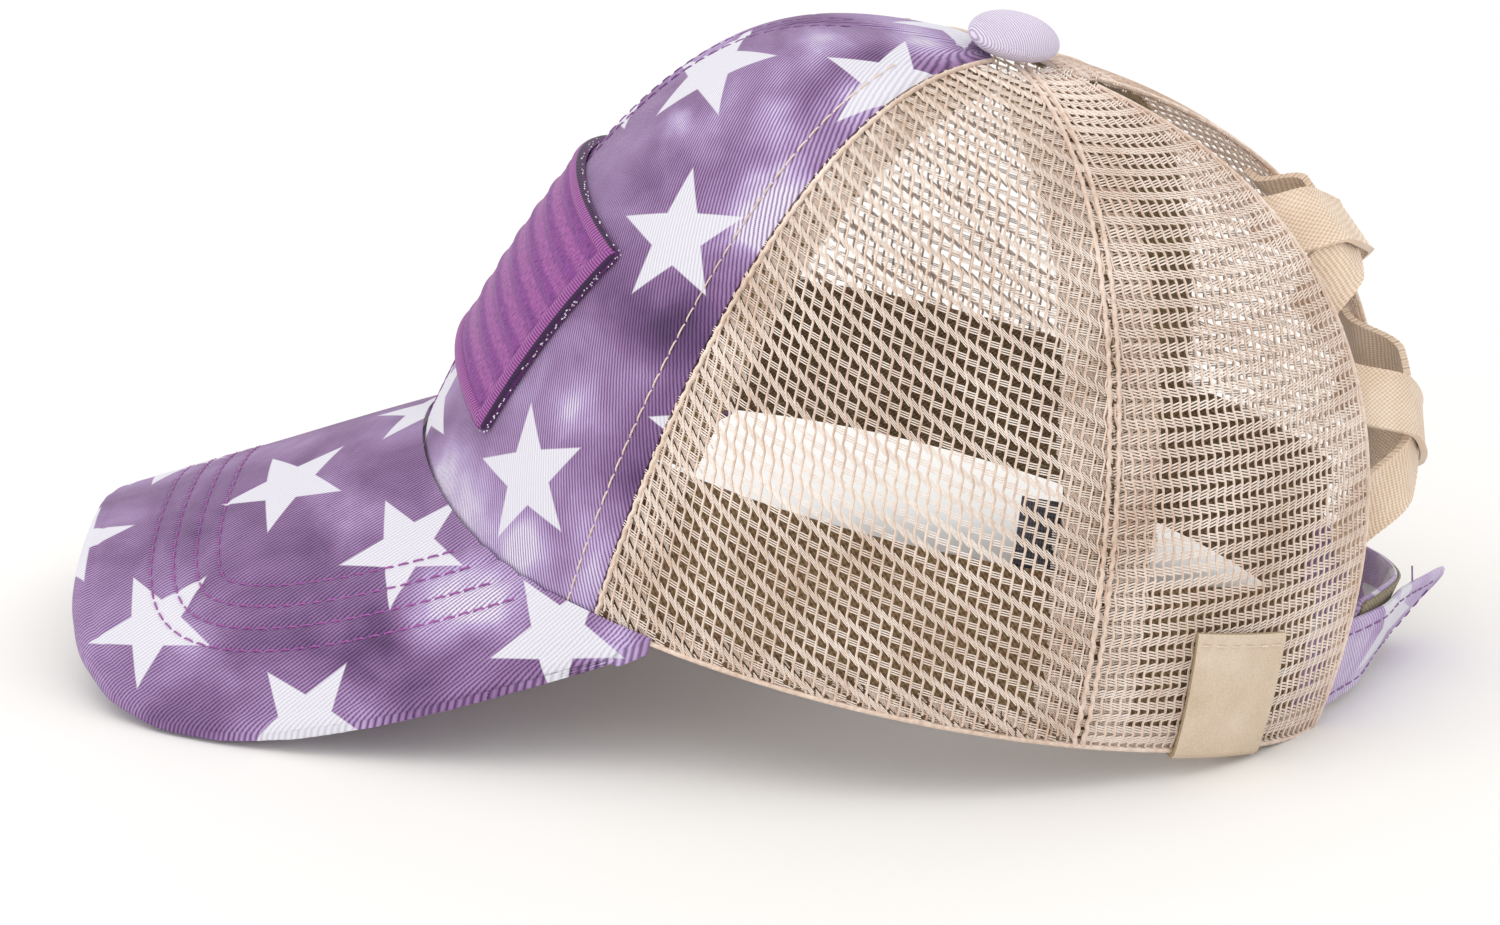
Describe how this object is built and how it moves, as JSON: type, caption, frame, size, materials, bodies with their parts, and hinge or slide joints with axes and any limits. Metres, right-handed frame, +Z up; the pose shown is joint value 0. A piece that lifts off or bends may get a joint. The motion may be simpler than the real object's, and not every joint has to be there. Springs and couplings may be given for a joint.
{
  "type": "ponytail baseball cap",
  "caption": "Child's soft baseball cap with a curved brim, net back, open ponytail back laced with crossed elastic, and a closing strap.",
  "frame": {"origin": "centre of the bounding box on the table, with the cap standing at rest on its brim and the back of its rim", "axes": "+X from the brim towards the back of the head, +Y towards the wearer's right side, +Z up from the table"},
  "size_m": [0.2612, 0.1418, 0.1293],
  "materials": {
    "twill": "matt printed cotton twill",
    "net": "knitted polyester net, slightly shiny",
    "lining": "matt cotton tape and sweatband",
    "elastic": "ribbed woven elastic, matt",
    "patch": "satin-stitch embroidery, silky",
    "leather": "pale grained leather, matt",
    "care_label": "woven tape, matt"
  },
  "bodies": {
    "root": {"front_panel_left": "twill", "side_panel_left": "net", "back_panel_left": "net", "front_panel_right": "twill", "side_panel_right": "net", "back_panel_right": "net", "brim": "twill", "sweatband": "lining", "front_seam_tape_left": "lining", "side_seam_tape_left": "lining", "front_seam_tape_right": "lining", "side_seam_tape_right": "lining", "front_patch": "patch", "elastic_upper_outer": "elastic", "elastic_upper_inner": "elastic", "elastic_lower_outer": "elastic", "elastic_lower_inner": "elastic", "strap_left": "twill", "strap_right": "twill", "leather_tag": "leather", "care_label": "care_label", "button": "twill"}
  },
  "joints": []
}
